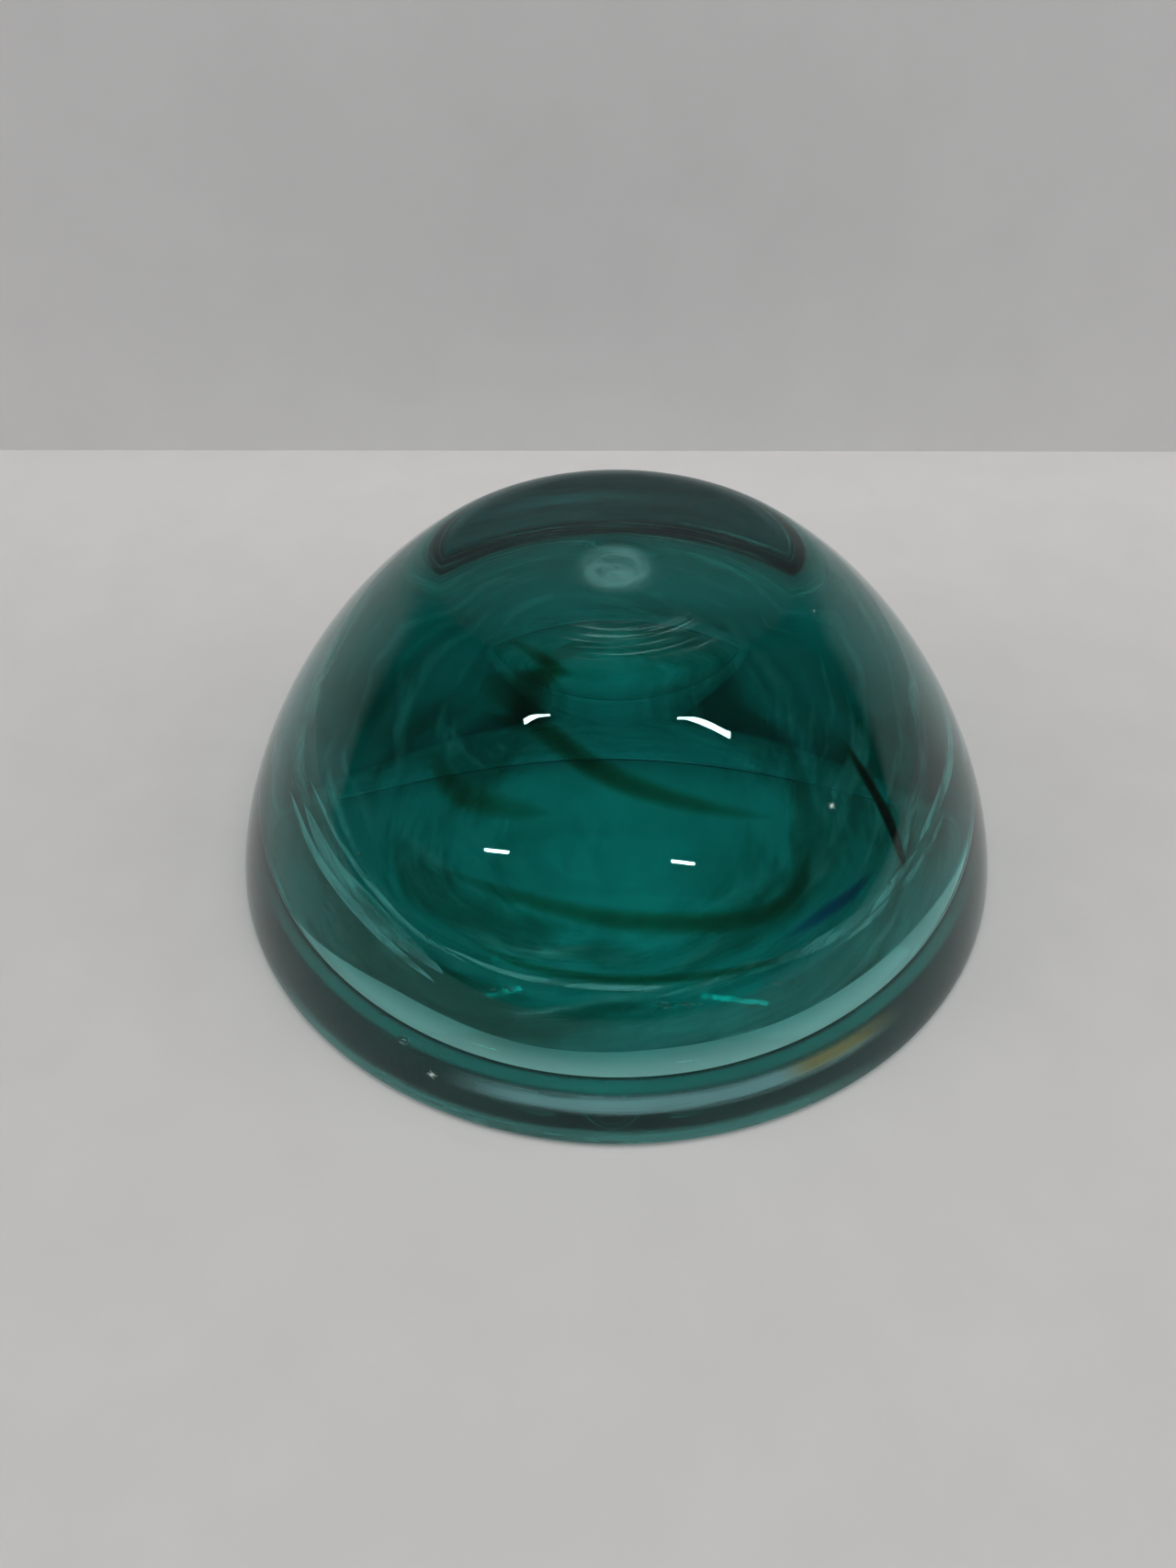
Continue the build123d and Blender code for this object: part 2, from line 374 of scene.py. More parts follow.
def streaky_glass(name, colour, density, clear, dark, wisp, wisp_share, wisp_levels, wisp_floor, seed):
    """Colour glass whose surface also carries dark streaks and cloudy pale wisps."""
    material, nodes, links = new_material(name)
    output = nodes.new("ShaderNodeOutputMaterial")
    volume = nodes.new("ShaderNodeVolumeAbsorption")
    volume.inputs["Color"].default_value = (*colour, 1.0)
    volume.inputs["Density"].default_value = density
    broad_place = swirl_place(nodes, links, along=0.9, across=105.0, warp=0.013, centre=SWIRL_CENTRE)
    fine_place = swirl_place(nodes, links, along=1.2, across=300.0, warp=0.009, centre=SWIRL_CENTRE)
    pale_place = swirl_place(nodes, links, along=1.3, across=380.0, warp=0.010)
    broad = streaks(nodes, links, broad_place, detail=5.0, low=0.44, high=0.62, seed=seed)
    fine = streaks(nodes, links, fine_place, detail=4.0, low=0.48, high=0.66, seed=seed + 5)
    pale = streaks(nodes, links, pale_place, 5.0, *wisp_levels, seed=seed + 9)
    calm = calm_window(nodes, links, WINDOW_CENTRE, 0.013, 0.024)
    in_front = axis_fade(nodes, links, "Y", 0.020, -0.004, 0.15)
    broad = product(nodes, links, product(nodes, links, broad, calm), in_front)
    fine = product(nodes, links, product(nodes, links, fine, calm), in_front)
    base = mixed_colour(nodes, links, broad, clear, dark)
    half_dark = tuple((a + b) / 2 for a, b in zip(clear, dark))
    toned = nodes.new("ShaderNodeMix")
    toned.data_type = "RGBA"
    toned.blend_type = "MULTIPLY"
    toned.inputs["Factor"].default_value = 1.0
    links.new(base, toned.inputs["A"])
    links.new(mixed_colour(nodes, links, fine, (1.0, 1.0, 1.0), half_dark), toned.inputs["B"])
    skin = nodes.new("ShaderNodeBsdfTransparent")
    links.new(toned.outputs["Result"], skin.inputs["Color"])
    near_side = nodes.new("ShaderNodeBsdfDiffuse")
    near_side.inputs["Color"].default_value = (*wisp, 1.0)
    far_side = nodes.new("ShaderNodeBsdfTranslucent")
    far_side.inputs["Color"].default_value = (*wisp, 1.0)
    cloud = nodes.new("ShaderNodeMixShader")
    cloud.inputs["Fac"].default_value = 0.4
    links.new(near_side.outputs["BSDF"], cloud.inputs[1])
    links.new(far_side.outputs["BSDF"], cloud.inputs[2])
    low_down = axis_fade(nodes, links, "Z", 0.021, 0.011, wisp_floor)
    share = product(nodes, links, product(nodes, links, pale, low_down), wisp_share)
    share = product(nodes, links, share, calm)
    surface = nodes.new("ShaderNodeMixShader")
    links.new(share, surface.inputs["Fac"])
    links.new(skin.outputs["BSDF"], surface.inputs[1])
    links.new(cloud.outputs["Shader"], surface.inputs[2])
    links.new(surface.outputs["Shader"], output.inputs["Surface"])
    links.new(volume.outputs["Volume"], output.inputs["Volume"])
    return material


# ---------------------------------------------------------------- glass bodies
outside = side_profile()
inside = cavity_profile()
bowl = lathe("bowl_glass", outside + inside)
bowl.data.materials.append(clear_glass())
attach(bowl, "root")
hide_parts("clear_casing")


def smooth(low, high, value):
    """Smooth step from 0 at the first value to 1 at the second."""
    share = min(max((value - low) / (high - low), 0.0), 1.0)
    return share * share * (3 - 2 * share)


def gather_edge(angle):
    """Height of the teal gather's lower edge round the cavity, high in front and near the rim behind."""
    front = math.degrees(math.atan2(math.cos(angle), -math.sin(angle)))
    lift = smooth(-72.0, -34.0, front) * smooth(92.0, 58.0, front)
    lobes = 0.00015 * math.sin(5 * angle + 0.6) + 0.00012 * math.sin(9 * angle + 2.0)
    return EDGE_HEIGHT + EDGE_RISE * lift + lobes


def lining_mesh(name, thickness):
    """Thin dome of colour just inside the cavity's surface, with a rounded lower edge."""
    steps = 90
    vertices, faces = [], []
    rows = []
    for side in (1, 0):
        order = range(steps + 1) if side else range(steps, -1, -1)
        for step in order:
            share = step / steps
            row = []
            for turn in range(TURNS):
                angle = 2 * math.pi * turn / TURNS
                edge_share = gather_edge(angle) / CAVITY_DEPTH
                low = math.asin(edge_share ** (CAVITY_HEIGHT_POWER / 2)) / (math.pi / 2)
                climb = low + (LINING_REACH - low) * share ** 1.2
                bead = 1.0 + BEAD_SWELL * math.exp(-(share / 0.045) ** 2)
                behind = smooth(0.0, 0.022, cavity_point(climb)[0] * math.sin(angle))
                bead *= 1.0 - BACK_THINNING * behind
                build = thickness * bead * min(1.0, share / 0.012) ** 0.5 if side else 0.0
                radius, height = cavity_point(climb, SKIN + build)
                radius = max(radius, LINING_GAP)
                row.append(len(vertices))
                vertices.append((radius * math.cos(angle), radius * math.sin(angle), height))
            rows.append(row)
    rows.append(rows[0])
    for first, second in zip(rows, rows[1:]):
        for turn in range(TURNS):
            after = (turn + 1) % TURNS
            faces.append((first[turn], first[after], second[after], second[turn]))
    return make_object(name, vertices, faces)


lining = lining_mesh("teal_lining", GATHER_THICKNESS)
lining.data.materials.append(
    streaky_glass("teal_glass", colour=(0.015, 0.78, 0.775), density=1300.0,
                  clear=(0.98, 1.0, 1.0), dark=(0.48, 0.72, 0.68), wisp=(0.5, 0.95, 0.92),
                  wisp_share=0.42, wisp_levels=(0.52, 0.72), wisp_floor=0.22, seed=3.0))
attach(lining, "root")
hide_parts("teal_gather")


# ---------------------------------------------------------------- trails
SLOPE = math.sqrt(0.5)        # the front plane leans back by 45 degrees


def on_dome(u, v, radius, height):
    """Point of a dome that lies straight out from a point of the front plane."""
    start = Vector((u, v * SLOPE, v * SLOPE))
    way = Vector((0.0, -SLOPE, SLOPE))
    near, far = 0.0, 0.12
    for _ in range(40):
        middle = (near + far) / 2
        place = start + way * middle
        rise = (max(place.z, 0.0) / height) ** CAVITY_HEIGHT_POWER
        if (place.x ** 2 + place.y ** 2) / radius ** 2 + rise < 1.0:
            near = middle
        else:
            far = middle
    return start + way * near


def smooth_line(line, count):
    """Points along a smooth curve through the given points."""
    points = [Vector(p) for p in line]
    points.insert(0, points[0] * 2 - points[1])
    points.append(points[-1] * 2 - points[-2])
    result = []
    spans = len(points) - 3
    for index in range(count):
        place = index / (count - 1) * spans
        span = min(int(place), spans - 1)
        t = place - span
        p0, p1, p2, p3 = points[span:span + 4]
        result.append(
            0.5 * ((2 * p1) + (p2 - p0) * t + (2 * p0 - 5 * p1 + 4 * p2 - p3) * t * t
                   + (3 * p1 - p0 - 3 * p2 + p3) * t ** 3)
        )
    return result


def trail(name, line, width, thickness, lift, material, node,
          dome=(GATHER_RADIUS, GATHER_HEIGHT)):
    """Lens-shaped trail of glass on a dome, pointed at both ends; line and sizes are in millimetres."""
    path = smooth_line([(u / 1000, v / 1000) for u, v in line], 64)
    across = 10
    vertices, faces, rings = [], [], []
    for index, point in enumerate(path):
        before = path[max(index - 1, 0)]
        after = path[min(index + 1, len(path) - 1)]
        along = (after - before).normalized()
        side = Vector((-along.y, along.x))
        taper = max(max(math.sin(math.pi * index / (len(path) - 1)), 0.0) ** 0.6, 0.02)
        half = width / 2000 * taper
        ring = []
        for sign in (1, -1):
            for step in range(across + 1):
                s = (step / across * 2 - 1) * sign
                if sign == -1 and step in (0, across):
                    continue
                bulge = thickness / 2000 * max(1 - s * s, 0.0) ** 1.3 * taper * sign
                shift = lift / 1000 + bulge
                place = point + side * (half * s)
                ring.append(len(vertices))
                vertices.append(on_dome(place.x, place.y, dome[0] + shift, dome[1] + shift))
        rings.append(ring)
    for first, second in zip(rings, rings[1:]):
        count = len(first)
        for k in range(count):
            faces.append((first[k], first[(k + 1) % count], second[(k + 1) % count], second[k]))
    faces.append(tuple(reversed(rings[0])))
    faces.append(tuple(rings[-1]))
    piece = make_object(name, [tuple(v) for v in vertices], faces)
    piece.data.materials.append(material)
    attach(piece, "root")
    if node:
        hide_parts(node)


dark = colour_glass("dark_glass", (0.05, 0.45, 0.2), 1400.0)
blade_glass = colour_glass("blade_glass", (0.05, 0.4, 0.2), 3500.0)
blue = colour_glass("blue_glass", (0.02, 0.45, 0.85), 2000.0)
pale = streaky_glass("pale_glass", colour=(0.4, 0.9, 0.85), density=100.0,
                     clear=(0.96, 1.0, 1.0), dark=(0.7, 0.9, 0.88), wisp=(0.65, 0.95, 0.95),
                     wisp_share=0.50, wisp_levels=(0.38, 0.62), wisp_floor=1.0, seed=17.0)
faint = streaky_glass("faint_glass", colour=(0.4, 0.9, 0.85), density=100.0,
                      clear=(0.96, 1.0, 1.0), dark=(0.7, 0.9, 0.88), wisp=(0.45, 0.85, 0.83),
                      wisp_share=0.34, wisp_levels=(0.46, 0.72), wisp_floor=1.0, seed=23.0)
trail("trail_crown", [(-20, 19.5), (-14, 16.8), (-9, 12.8), (-3, 8.3), (4, 5), (13, 2.4), (23, 0.6)],
      width=4.2, thickness=1.3, lift=0.75, material=dark, node="dark_trail_crown")
trail("trail_left", [(-26, 11), (-24.5, 6.5), (-21, 3.2), (-15.5, 2), (-9, 1.2)],
      width=5.0, thickness=0.9, lift=0.75, material=dark, node="dark_trail_left")
trail("trail_loop",
      [(-26, -7.5), (-14.5, -11.4), (-1, -14.4), (12, -15.2), (22, -14), (27, -10), (28.5, -4)],
      width=4.0, thickness=1.3, lift=0.75, material=dark, node="dark_trail_loop")
trail("trail_foot",
      [(-26, -15.6), (-14.5, -21.6), (-1, -23.8), (12.5, -23.4), (23, -21.6), (30.5, -18.8)],
      width=1.8, thickness=1.2, lift=0.75, material=dark, node="dark_trail_foot")
trail("trail_blade", [(32, 12.5), (36.5, 6), (40.2, 0.2), (43, -5.6), (44, -8.6)],
      width=1.7, thickness=1.5, lift=0.9, material=blade_glass,
      node="dark_trail_blade")
trail("trail_blue", [(25, -18), (30, -15), (35, -11.5), (38.6, -8)],
      width=2.4, thickness=1.3, lift=0.75, material=blue, node="blue_trail")
trail("veil_left", [(-47, 1), (-42.8, -7.8), (-37, -14), (-31.4, -19.4), (-25.5, -24)],
      width=3.2, thickness=1.3, lift=0.75, material=pale, node="pale_veil_left")
WISPS = {
    "wisp_left_outer": ([(-50, 3), (-46.5, -5.5), (-41, -13), (-34, -20), (-27, -25.5)], 1.6),
    "wisp_left_inner": ([(-46, 5), (-41.5, -4), (-36, -11.5), (-30, -17.5), (-22, -22)], 1.1),
    "wisp_low": ([(-26, -19.5), (-14.7, -23.6), (-1, -25.2), (12.6, -24.8), (25, -22)], 1.0),
    "wisp_low_right": ([(18, -22.5), (27, -20.5), (34, -17), (41, -11.5), (46, -5)], 2.0),
    "wisp_right": ([(46, -4), (49.5, 3), (51, 9), (50.5, 16)], 1.8),
    "wisp_right_low": ([(33, -20), (40, -14.5), (46.5, -7.5), (50.5, 0)], 1.2),
}
for wisp_name, (wisp_line, wisp_width) in WISPS.items():
    trail(wisp_name, wisp_line, wisp_width, thickness=0.8, lift=2.6, material=pale,
          node=None)
trail("veil_right", [(49, 34), (54.5, 25), (58, 16), (59.5, 8)],
      width=6.0, thickness=1.2, lift=-0.6, material=faint,
      node="pale_veil_right", dome=VEIL_DOME)


# ---------------------------------------------------------------- films, bubbles and scratches
FROST_LIFT = 0.000015        # how far the frost lies over the pontil mark
SCRATCH_LIFT = 0.00002       # how far a scratch lies over the glass
BASE_FILM_DEPTH = 0.00004    # how far the base's wear lies inside the glass
# How far the rim's films lie inside the glass, each its own so that no two coincide
DUST_AND_SHADE_LIFT = 0.00004
GLOW_LIFT = 0.00005
WEAR_AND_REFLECTION_LIFT = 0.00006
LIP_LIFT = 0.00007
RIM_SHADE_LIFT = 0.00008


def film(name, radii, angles, height, material):
    """Thin open sheet over part of a ring, at a height given for each radius."""
    across, round_steps = 24, 160
    vertices, faces = [], []
    for step in range(across + 1):
        radius = radii[0] + (radii[1] - radii[0]) * step / across
        for turn in range(round_steps + 1):
            angle = math.radians(angles[0] + (angles[1] - angles[0]) * turn / round_steps)
            vertices.append((radius * math.cos(angle), radius * math.sin(angle), height(radius)))
    width = round_steps + 1
    for step in range(across):
        for turn in range(round_steps):
            corner = step * width + turn
            faces.append((corner, corner + width, corner + width + 1, corner + 1))
    piece = make_object(name, vertices, faces, closed=False)
    piece.data.materials.append(material)
    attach(piece, "root")


def ring_fade(nodes, links, middle, half, direction=None, spread=0.0):
    """Factor that is 1 on a circle round the axis and in one direction, and fades away from both."""
    way, radius = across_axis(nodes, links, object_place(nodes))
    off = scalar_math(nodes, links, "SUBTRACT", radius, middle)
    size = scalar_math(nodes, links, "ABSOLUTE", off)
    near_ring = eased(nodes, links, size, half, half * 0.3)
    if direction is None:
        return near_ring
    heading = math.radians(direction)
    aim = (math.cos(heading), math.sin(heading), 0.0)
    toward = vector_math(nodes, links, "DOT_PRODUCT", way, aim).outputs["Value"]
    edge = math.cos(math.radians(spread))
    full = math.cos(math.radians(spread * 0.6))
    return product(nodes, links, near_ring, eased(nodes, links, toward, edge, full))


def film_glass(name, colour, along, across, low, high, share, seed, fade=None, tint=None, tip=None):
    """Scuffs, cloudiness and, on some films, painted light and shade: scattering streaks on a sheet that
    is otherwise clear.

    fade limits the streaks and the tint to a place, tint colours what shows through the sheet (painted
    shade on the rim films that use it), and tip gives the streaks another colour round one place (a
    painted dispersion fringe where it is used).
    """
    material, nodes, links = new_material(name)
    output = nodes.new("ShaderNodeOutputMaterial")
    marks_place = swirl_place(nodes, links, along, across, warp=0.0015)
    marks = streaks(nodes, links, marks_place, 6.0, low, high, seed)
    if fade:
        marks = product(nodes, links, marks, ring_fade(nodes, links, *fade))
    skin = nodes.new("ShaderNodeBsdfTransparent")
    if tint:
        tinted = mixed_colour(nodes, links, ring_fade(nodes, links, *fade), (1.0, 1.0, 1.0), tint)
        links.new(tinted, skin.inputs["Color"])
    cloud = nodes.new("ShaderNodeBsdfDiffuse")
    cloud.inputs["Color"].default_value = (*colour, 1.0)
    if tip:
        tip_colour, tip_place = tip
        blend = mixed_colour(nodes, links, ring_fade(nodes, links, *tip_place), colour, tip_colour)
        links.new(blend, cloud.inputs["Color"])
    surface = nodes.new("ShaderNodeMixShader")
    links.new(product(nodes, links, marks, share), surface.inputs["Fac"])
    links.new(skin.outputs["BSDF"], surface.inputs[1])
    links.new(cloud.outputs["BSDF"], surface.inputs[2])
    links.new(surface.outputs["Shader"], output.inputs["Surface"])
    return material


def air_glass(name):
    """Surface of a bubble, clear with faint cloudy patches."""
    material, nodes, links = new_material(name)
    output = nodes.new("ShaderNodeOutputMaterial")
    glass = nodes.new("ShaderNodeBsdfPrincipled")
    glass.inputs["Transmission Weight"].default_value = 1.0
    glass.inputs["IOR"].default_value = GLASS_IOR
    patch_place = swirl_place(nodes, links, along=3.0, across=900.0, warp=0.004)
    patches = streaks(nodes, links, patch_place, detail=4.0, low=0.4, high=0.7, seed=6.0)
    links.new(product(nodes, links, patches, 0.08), glass.inputs["Roughness"])
    links.new(glass.outputs["BSDF"], output.inputs["Surface"])
    return material


bubble_glass = air_glass("bubble_glass")


def bubble(name, centre, radius, stretch=1.0):
    """Air bubble in the glass, a ball whose surface faces into the air."""
    ball = bmesh.new()
    bmesh.ops.create_uvsphere(ball, u_segments=24, v_segments=16, radius=radius)
    bmesh.ops.scale(ball, vec=(stretch, 1.0, 1.0), verts=ball.verts)
    bmesh.ops.translate(ball, vec=centre, verts=ball.verts)
    bmesh.ops.reverse_faces(ball, faces=ball.faces[:])
    mesh = bpy.data.meshes.new(name)
    ball.to_mesh(mesh)
    ball.free()
    for polygon in mesh.polygons:
        polygon.use_smooth = True
    piece = bpy.data.objects.new(name, mesh)
    bpy.context.scene.collection.objects.link(piece)
    piece.data.materials.append(bubble_glass)
    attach(piece, "root")


def scratch(name, centre, outward, arms, length, width, material):
    """Star of thin strokes lying on the glass."""
    out = Vector(outward).normalized()
    side = Vector((1.0, 0.0, 0.0)).cross(out).normalized()
    other = out.cross(side)
    middle = Vector(centre) + out * SCRATCH_LIFT
    vertices, faces = [], []
    for arm in range(arms):
        angle = math.pi * arm / arms + random.uniform(-0.35, 0.35)
        reach = length * random.uniform(0.45, 1.0)
        way = side * math.cos(angle) + other * math.sin(angle)
        across = way.cross(out) * width
        start = len(vertices)
        for corner in (middle - way * reach, middle + across, middle + way * reach, middle - across):
            vertices.append(tuple(corner))
        faces.append((start, start + 1, start + 2, start + 3))
    piece = make_object(name, vertices, faces, closed=False)
    piece.data.materials.append(material)
    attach(piece, "root")


BUBBLE_PLACE = (-0.0335, -0.0585, 0.0080)
# Places of the scratches on the glass, each with the direction that faces out
STAR_PLACE = ((0.0339, -0.0406, 0.0447), (0.49, -0.58, 0.65))
NICK_PLACE = ((0.0325, -0.0106, 0.0597), (0.35, -0.12, 0.93))
SCUFF_PLACE = ((-0.0293, -0.0670, 0.0086), (-0.38, -0.87, 0.30))
# Rows of small bubbles: place on the front plane, how many, and how far they spread, in millimetres
BUBBLE_CLUSTERS = (
    (-16.0, -26.2, 14, 2.4),
    (10.0, -28.0, 14, 2.2),
    (25.5, -25.0, 8, 1.8),
    (-30.0, -19.0, 6, 2.5),
)
for cluster, (u, v, count, spread) in enumerate(BUBBLE_CLUSTERS):
    for number in range(count):
        across = random.gauss(0.0, spread) / 1000
        along = random.gauss(0.0, 0.45) / 1000
        depth = 0.0026 + random.uniform(0.0, 0.0015)
        place = on_dome(u / 1000 + across, v / 1000 + along, GATHER_RADIUS + depth, GATHER_HEIGHT + depth)
        bubble(f"seed_{cluster}_{number}", place, random.uniform(0.00010, 0.00028), 1.6)
bubble("bubble_rim", BUBBLE_PLACE, 0.0008, 1.3)
bubble("bubble_left", on_dome(-0.0385, -0.0060, 0.0630, 0.0330), 0.00035)
bubble("bubble_right", on_dome(0.0420, -0.0100, 0.0640, 0.0330), 0.0003)

fine_scratch = film_glass("fine_scratch", (0.85, 0.95, 0.9), along=2.0, across=600.0,
                          low=0.1, high=0.3, share=0.9, seed=1.0)
scratch("scratch_star", *STAR_PLACE, arms=4, length=0.0010, width=0.00007, material=fine_scratch)
scratch("scratch_upper", *NICK_PLACE, arms=2, length=0.0007, width=0.00006, material=fine_scratch)
scratch("scratch_lower", *SCUFF_PLACE, arms=7, length=0.0013, width=0.00006, material=fine_scratch)


def pontil_height(radius):
    """Just over the glass in the pontil mark."""
    for (r0, z0), (r1, z1) in zip(outside, outside[1:]):
        if r0 <= radius <= r1:
            return z0 + (z1 - z0) * (radius - r0) / max(r1 - r0, 1e-9) + FROST_LIFT
    return BOWL_HEIGHT


def rim_height(radius):
    """Height of the rim's flat and of its rounded outer edge."""
    past = max(radius - RIM_FLAT, 0.0)
    return RIM_ROUNDING - math.sqrt(max(RIM_ROUNDING ** 2 - past ** 2, 0.0))


def inside_rim(lift):
    """Height, for each radius, of a film that lies a little inside the rim."""
    return lambda radius: rim_height(radius) + lift


film("pontil_frost", radii=(0.0002, PONTIL_RADIUS * 0.98), angles=(0, 360),
     height=pontil_height,
     material=film_glass("pontil_ground", (0.25, 0.55, 0.53), along=0.35, across=260.0,
                         low=0.25, high=0.62, share=0.36, seed=2.0,
                         fade=(0.002, 0.0066)))
film("base_wear", radii=(0.012, 0.029), angles=(180, 360),
     height=lambda radius: BOWL_HEIGHT - BASE_FILM_DEPTH,
     material=film_glass("base_scratches", (0.36, 0.72, 0.68), along=1.1, across=1900.0,
                         low=0.48, high=0.70, share=0.62, seed=4.0,
                         fade=(0.0215, 0.007, -80.0, 36.0)))
# Pale streaks over the front of the rim: partly scuffs and partly a painted reflection band; the orange
# tip is a painted dispersion fringe.
film("rim_wear_and_painted_reflection", radii=(0.0575, 0.0728), angles=(180, 360),
     height=inside_rim(WEAR_AND_REFLECTION_LIFT),
     material=film_glass("rim_scuffs_and_painted_reflection", (0.75, 0.85, 0.9), along=1.5, across=500.0,
                         low=0.15, high=0.55, share=0.60, seed=8.0,
                         fade=(0.0630, 0.0030, -79.0, 37.0),
                         tip=((0.95, 0.5, 0.2), (0.0618, 0.004, -50.0, 16.0))))
# Directions of the two dust films, in degrees from +X; their dark streaks and tint also paint shade over
# the rim's lower sides
RIM_DUST_AND_SHADE = {"rim_dust_and_shade_left": 222.0, "rim_dust_and_shade_right": 318.0}
for dust_shade_name, heading in RIM_DUST_AND_SHADE.items():
    film(dust_shade_name, radii=(0.0572, 0.0735), angles=(heading - 50, heading + 50),
         height=inside_rim(DUST_AND_SHADE_LIFT),
         material=film_glass(dust_shade_name, (0.03, 0.11, 0.10), along=1.5, across=160.0,
                             low=0.15, high=0.6, share=0.40, seed=heading,
                             fade=(0.0655, 0.0320, heading, 46.0), tint=(0.36, 0.52, 0.52)))
# Bright teal streaks along the front of the rim's rounded edge: painted light on the lip.
film("lip_painted_light", radii=(0.0655, 0.0747), angles=(185, 355),
     height=inside_rim(LIP_LIFT),
     material=film_glass("lip_painted_light_streaks", (0.16, 0.60, 0.55), along=2.0, across=400.0,
                         low=0.20, high=0.52, share=0.50, seed=12.0,
                         fade=(0.0722, 0.0034, -100.0, 52.0)))
# Bright teal band just outside the front of the mouth's edge: painted light.
film("mouth_glow", radii=(0.0567, 0.0612), angles=(180, 360),
     height=inside_rim(GLOW_LIFT),
     material=film_glass("mouth_painted_glow", (0.03, 0.75, 0.70), along=1.5, across=300.0,
                         low=0.1, high=0.4, share=0.30, seed=5.0,
                         fade=(0.0585, 0.0024, -88.0, 85.0)))
# Dark streaks and a tint over the back of the rim, which darken what shows through there: painted shade.
film("rim_painted_shade", radii=(0.0566, 0.0747), angles=(-6, 186),
     height=inside_rim(RIM_SHADE_LIFT),
     material=film_glass("rim_back_painted_shade", (0.02, 0.1, 0.1), along=1.5, across=160.0,
                         low=0.3, high=0.7, share=0.45, seed=8.0,
                         fade=(0.0655, 0.0320, 90.0, 95.0), tint=(0.26, 0.50, 0.53)))


# ---------------------------------------------------------------- stage
def stage_material(name, colour, scale, strength, painted_shade_above=None, open_back=False):
    """Plain paint; with open_back it is there only on the side that faces the bowl, and it can turn
    nearly black higher up, as painted shade.
    """
    material, nodes, links = new_material(name)
    output = nodes.new("ShaderNodeOutputMaterial")
    surface = nodes.new("ShaderNodeBsdfPrincipled")
    surface.inputs["Roughness"].default_value = 0.75
    noise = nodes.new("ShaderNodeTexNoise")
    noise.inputs["Scale"].default_value = scale
    noise.inputs["Detail"].default_value = 6.0
    ramp = nodes.new("ShaderNodeValToRGB")
    ramp.color_ramp.elements[0].position = 0.35
    ramp.color_ramp.elements[0].color = (*[c * 0.97 for c in colour], 1.0)
    ramp.color_ramp.elements[1].position = 0.65
    ramp.color_ramp.elements[1].color = (*colour, 1.0)
    bump = nodes.new("ShaderNodeBump")
    bump.inputs["Strength"].default_value = strength
    bump.inputs["Distance"].default_value = 0.001
    links.new(object_place(nodes), noise.inputs["Vector"])
    links.new(noise.outputs["Fac"], ramp.inputs["Fac"])
    paint = ramp.outputs["Color"]
    # Painted shade: the paint turns nearly black towards the top.
    if painted_shade_above:
        shade_up_high = axis_fade(nodes, links, "Z", *painted_shade_above, 0.0)
        paint = mixed_colour(nodes, links, shade_up_high, paint, (0.02, 0.02, 0.02))
    links.new(paint, surface.inputs["Base Color"])
    links.new(noise.outputs["Fac"], bump.inputs["Height"])
    links.new(bump.outputs["Normal"], surface.inputs["Normal"])
    if not open_back:
        links.new(surface.outputs["BSDF"], output.inputs["Surface"])
        return material
    side = nodes.new("ShaderNodeNewGeometry")
    gone = nodes.new("ShaderNodeBsdfTransparent")
    choice = nodes.new("ShaderNodeMixShader")
    links.new(side.outputs["Backfacing"], choice.inputs["Fac"])
    links.new(surface.outputs["BSDF"], choice.inputs[1])
    links.new(gone.outputs["BSDF"], choice.inputs[2])
    links.new(choice.outputs["Shader"], output.inputs["Surface"])
    return material


def plane(name, corners, material):
    """Flat four-cornered part of the stage."""
    piece = make_object(name, corners, [(0, 1, 2, 3)], closed=False)
    piece.data.materials.append(material)


WALL_PLACE = 0.155
WALL_TOP = 0.30
STAGE_REACH = 3
STAGE_LEVEL = -0.00005       # just under the rim, so that the two surfaces don't coincide
floor_corners = [(-STAGE_REACH, -STAGE_REACH), (STAGE_REACH, -STAGE_REACH),
                 (STAGE_REACH, STAGE_REACH), (-STAGE_REACH, STAGE_REACH)]
wall_corners = [(-STAGE_REACH, STAGE_LEVEL), (STAGE_REACH, STAGE_LEVEL),
                (STAGE_REACH, WALL_TOP), (-STAGE_REACH, WALL_TOP)]
plane("floor", [(x, y, STAGE_LEVEL) for x, y in floor_corners],
      stage_material("floor_paint", (0.66, 0.645, 0.635), 60.0, 0.05))
# The wall turns nearly black from 0.12 m to 0.22 m up: painted shade.
plane("wall", [(x, WALL_PLACE, z) for x, z in wall_corners],
      stage_material("wall_paint", (0.76, 0.75, 0.75), 40.0, 0.2, (0.12, 0.22), open_back=True))


# ---------------------------------------------------------------- light
def lamp(name, place, across, size, power, lights_paint):
    """Lamp that faces the bowl; it either lights the paint or is seen in the glass as a reflection."""
    data = bpy.data.lights.new(name, "AREA")
    data.shape = "RECTANGLE"
    data.size = size[0]
    data.size_y = size[1]
    data.energy = power
    item = bpy.data.objects.new(name, data)
    bpy.context.scene.collection.objects.link(item)
    back = (Vector(place) - LAMP_AIM).normalized()
    side = Vector(across)
    side = (side - back * side.dot(back)).normalized()
    up = back.cross(side)
    item.matrix_world = Matrix.Translation(place) @ Matrix((side, up, back)).transposed().to_4x4()
    item.visible_diffuse = lights_paint
    item.visible_glossy = not lights_paint


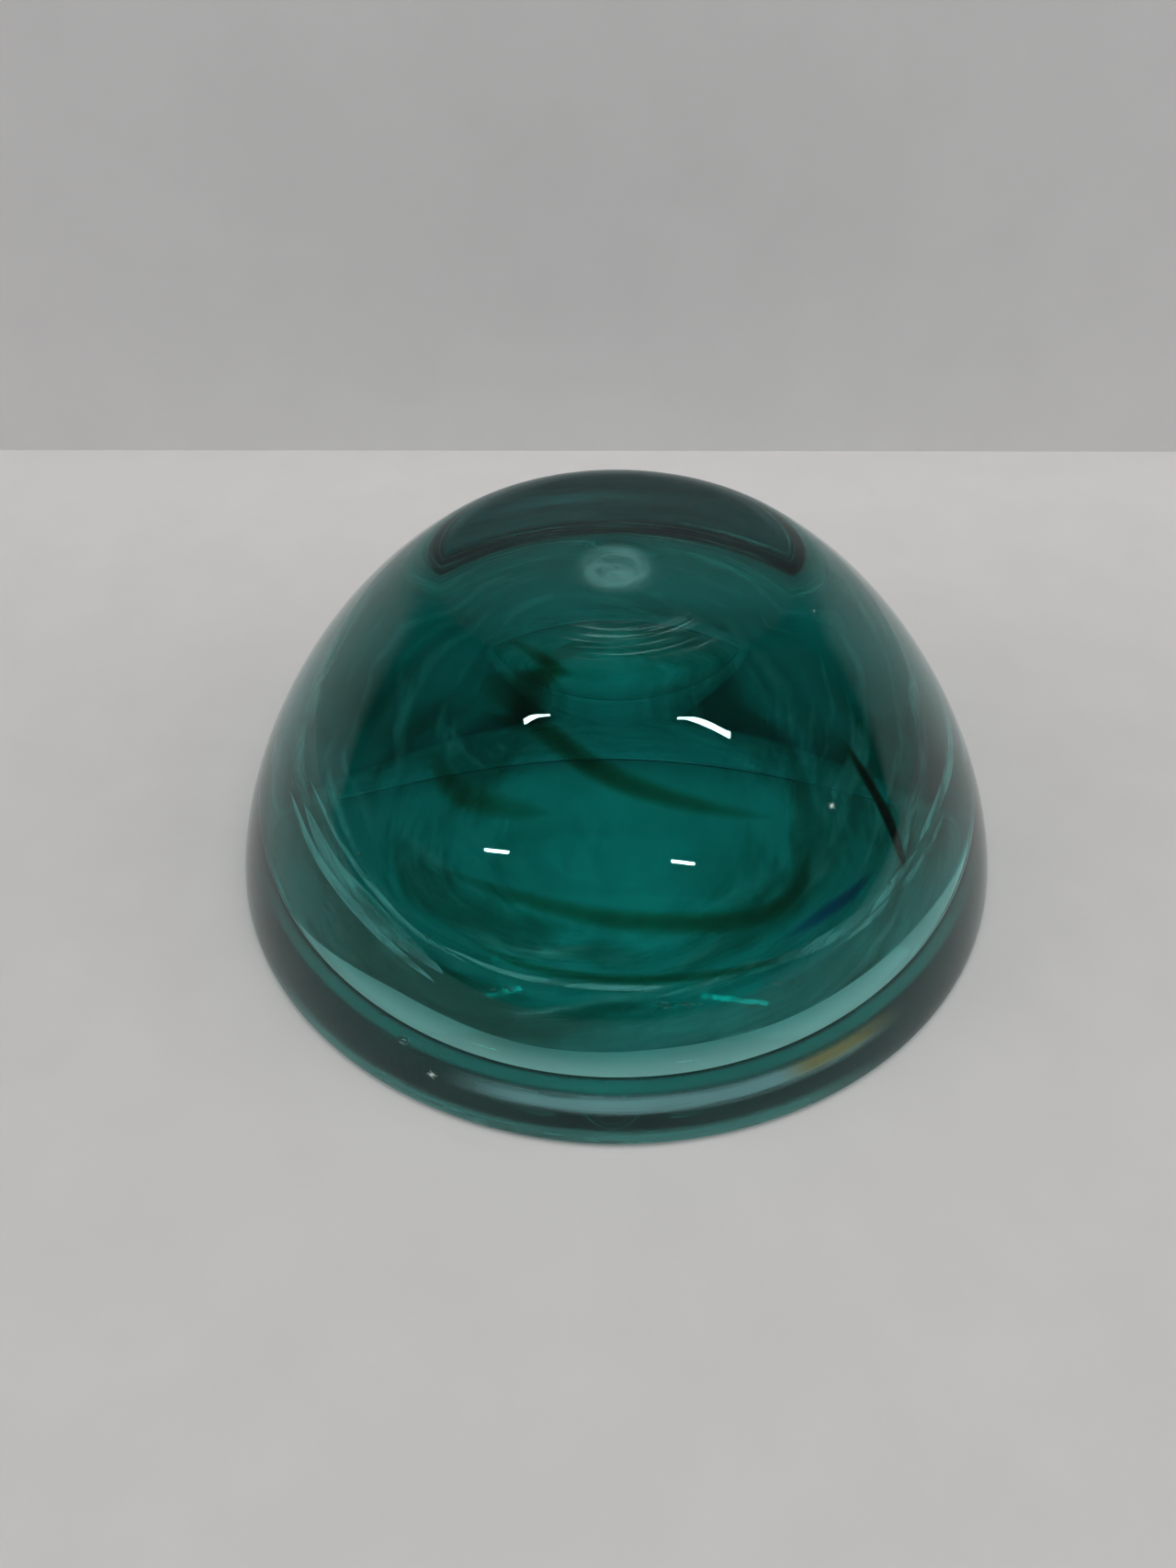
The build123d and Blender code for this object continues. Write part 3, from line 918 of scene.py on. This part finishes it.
LAMP_AIM = Vector((0.0, 0.0, 0.03))
lamp("soft_overhead", (0.1, -0.35, 1.5), across=(1, 0, 0),
     size=(1.6, 1.2), power=15.0, lights_paint=True)
lamp("soft_left", (-1.5, -0.4, 0.9), across=(0, 1, 0),
     size=(1.4, 1.2), power=7.0, lights_paint=True)
lamp("soft_right", (1.5, -0.4, 0.9), across=(0, 1, 0),
     size=(1.4, 1.2), power=7.0, lights_paint=True)
lamp("tube_near_left", (-0.62, -0.47, 1.35), across=(0.86, 0.2, 0.47),
     size=(0.25, 0.045), power=3.0, lights_paint=False)
lamp("tube_near_right", (0.71, -0.50, 1.30), across=(0.27, 0.0, -0.153),
     size=(0.46, 0.045), power=5.0, lights_paint=False)
lamp("tube_far_left", (-0.88, -1.06, 0.74), across=(0.109, -0.067, 0.039),
     size=(0.20, 0.018), power=1.6, lights_paint=False)
lamp("tube_far_right", (0.53, -1.23, 0.80), across=(0.111, 0.028, -0.033),
     size=(0.18, 0.016), power=1.6, lights_paint=False)

world = bpy.data.worlds.new("studio")
bpy.context.scene.world = world
world.use_nodes = True
tree = world.node_tree
tree.nodes.clear()
sky_output = tree.nodes.new("ShaderNodeOutputWorld")
sky = tree.nodes.new("ShaderNodeBackground")
sky.inputs["Strength"].default_value = 0.08
sky.inputs["Color"].default_value = (0.95, 0.97, 1.0, 1.0)
tree.links.new(sky.outputs["Background"], sky_output.inputs["Surface"])

# ---------------------------------------------------------------- camera
LENS = 27.06                 # millimetres, for a sensor 36 wide
ELEVATION = math.radians(45.7)
DISTANCE = 3.268 * RIM_RADIUS
YAW = math.radians(1.276)
PITCH = math.radians(1.647)
ROLL = math.radians(-0.46)
camera_data = bpy.data.cameras.new("camera")
camera_data.sensor_width = 36.0
camera_data.sensor_fit = "AUTO"
camera_data.lens = LENS
camera_data.clip_start = 0.01
camera = bpy.data.objects.new("camera", camera_data)
bpy.context.scene.collection.objects.link(camera)
place = Vector((0.0, -DISTANCE * math.cos(ELEVATION), DISTANCE * math.sin(ELEVATION)))
forward = (-place).normalized()
right = Vector((1.0, 0.0, 0.0))
up = right.cross(forward)
frame_axes = Matrix((right, up, -forward)).transposed()
centre_seen = Vector((math.tan(YAW), -math.tan(PITCH), -1.0)).normalized()
swing = Vector((0.0, 0.0, -1.0)).rotation_difference(centre_seen)
turn = Matrix.Rotation(ROLL, 3, "Z")
facing = frame_axes @ turn.transposed() @ swing.to_matrix().transposed()
camera.matrix_world = Matrix.Translation(place) @ facing.to_4x4()
bpy.context.scene.camera = camera

# ---------------------------------------------------------------- light paths and colours
scene = bpy.context.scene
scene.view_settings.view_transform = "Standard"
scene.cycles.max_bounces = 24
scene.cycles.transmission_bounces = 24
scene.cycles.transparent_max_bounces = 32
scene.cycles.volume_bounces = 2
